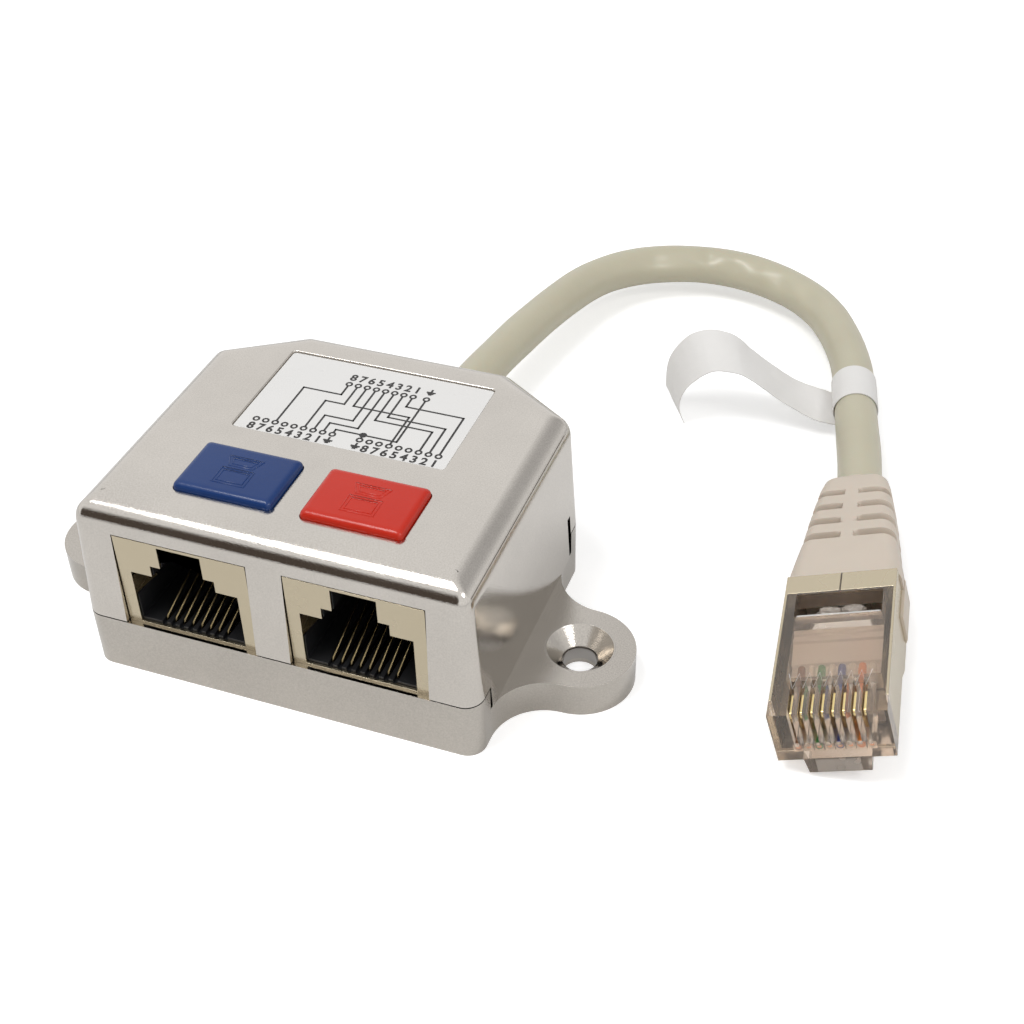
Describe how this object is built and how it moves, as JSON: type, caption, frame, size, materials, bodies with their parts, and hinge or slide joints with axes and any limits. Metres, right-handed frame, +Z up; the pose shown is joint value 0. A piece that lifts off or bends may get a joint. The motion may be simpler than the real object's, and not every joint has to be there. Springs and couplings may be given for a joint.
{
  "type": "rj45 splitter adapter",
  "caption": "Plated two-socket network splitter box with screw ears, a wiring label, coloured inserts and a short cable ending in a shielded modular plug.",
  "frame": {"origin": "middle of the housing's underside", "axes": "+X from the blue socket to the red one, +Z up, sockets face -Y, cable leaves +Y"},
  "size_m": [0.0956, 0.0976, 0.0223],
  "materials": {
    "housing": "satin plating over moulded plastic",
    "label": "matt film",
    "blue": "semi-gloss",
    "red": "semi-gloss",
    "board": "solder mask",
    "nickel": "nickel-plated sheet",
    "black": "moulded",
    "gold": "gold-plated",
    "jacket": "soft plastic jacket",
    "paper": "paper",
    "boot": "soft moulding",
    "foil": "foil",
    "clear": "clear smoky plastic",
    "white_plastic": "moulded",
    "white_core": "insulation",
    "brown_core": "insulation",
    "green_core": "insulation",
    "blue_core": "insulation",
    "orange_core": "insulation"
  },
  "bodies": {
    "root": {"base": "housing", "cover": "housing", "diagram_label": "label", "blue_insert": "blue", "red_insert": "red", "circuit_board": "board", "left_jack_shield": "nickel", "left_jack_body": "black", "left_jack_contacts": "gold", "right_jack_shield": "nickel", "right_jack_body": "black", "right_jack_contacts": "gold", "cable_ring": "nickel", "board_wires": "white_core", "cable": "jacket", "cable_tag": "paper", "plug_boot": "boot", "plug_bundle": "foil", "plug_shield": "nickel", "plug_body": "clear", "plug_contacts": "gold", "plug_load_bar": "white_plastic", "plug_core_1": "brown_core", "plug_core_2": "white_core", "plug_core_3": "green_core", "plug_core_4": "white_core", "plug_core_5": "blue_core", "plug_core_6": "white_core", "plug_core_7": "orange_core", "plug_core_8": "white_core"}
  },
  "joints": []
}
